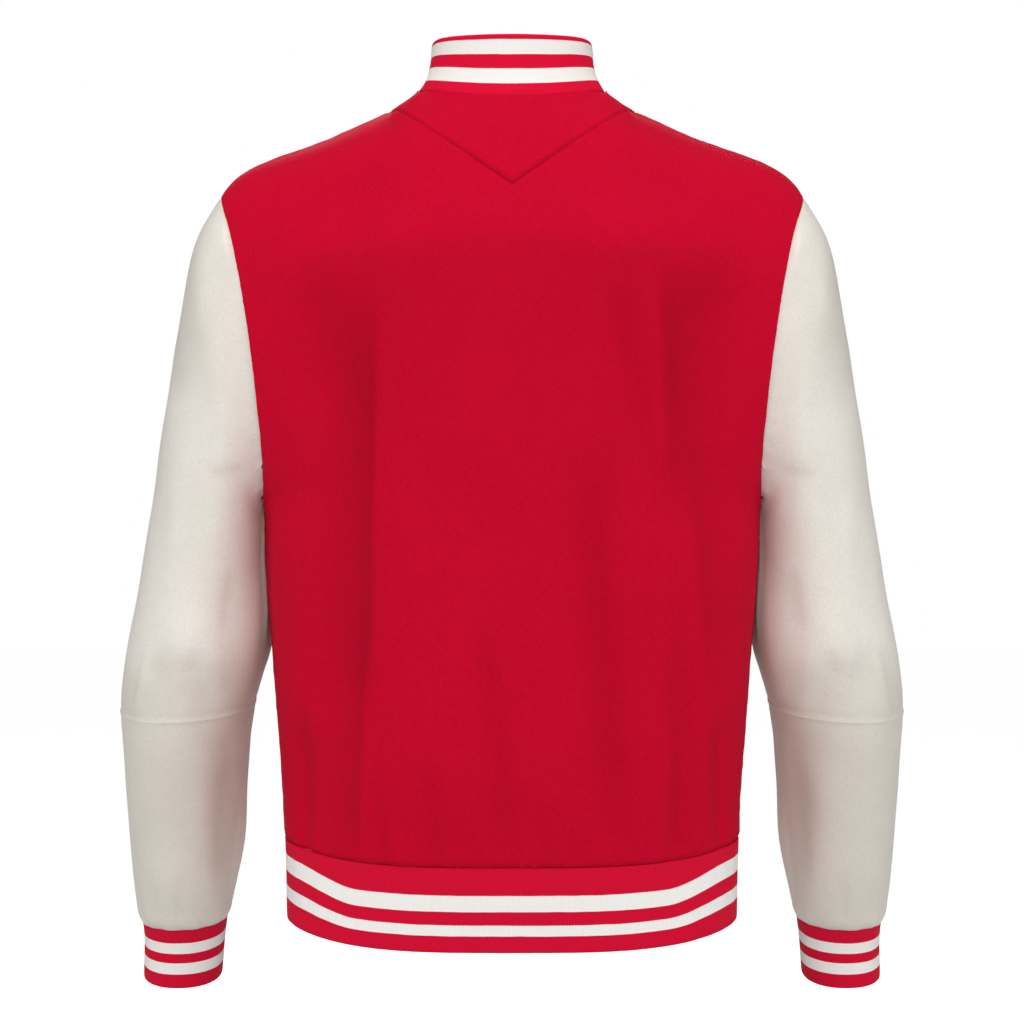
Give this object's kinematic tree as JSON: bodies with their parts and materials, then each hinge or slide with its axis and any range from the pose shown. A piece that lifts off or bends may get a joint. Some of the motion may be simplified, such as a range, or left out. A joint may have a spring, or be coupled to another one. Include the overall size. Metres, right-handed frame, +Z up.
{
  "type": "varsity jacket",
  "caption": "Snap-front jacket with cloth body, leather sleeves, and striped knit rib collar, cuffs and hem, filled out as worn, with a V-shaped back yoke.",
  "frame": {"origin": "middle of the neck opening, level with the two neck points of the shoulder seams, where the wearer's shoulders carry the jacket", "axes": "+Z up, +X towards the wearer's left sleeve, -Y towards the front with its snaps, +Y towards the back"},
  "size_m": [0.6262, 0.2522, 0.7537],
  "materials": {
    "red_wool": "matte milled wool cloth",
    "cream_leather": "soft satin leather with a fine grain",
    "striped_rib": "rib knit, red with two white stripes",
    "cream_enamel": "enamelled snap cap"
  },
  "bodies": {
    "root": {"back_panel": "red_wool", "back_yoke": "red_wool", "left_front": "red_wool", "right_front": "red_wool", "hem_rib": "striped_rib", "collar_rib": "striped_rib", "left_cuff": "striped_rib", "right_cuff": "striped_rib", "left_upper_sleeve_back": "cream_leather", "left_upper_sleeve_front": "cream_leather", "left_lower_sleeve_back": "cream_leather", "left_lower_sleeve_front": "cream_leather", "right_upper_sleeve_back": "cream_leather", "right_upper_sleeve_front": "cream_leather", "right_lower_sleeve_back": "cream_leather", "right_lower_sleeve_front": "cream_leather", "snap_1": "cream_enamel", "snap_2": "cream_enamel", "snap_3": "cream_enamel", "snap_4": "cream_enamel", "snap_5": "cream_enamel", "snap_6": "cream_enamel", "snap_7": "cream_enamel"}
  },
  "joints": []
}
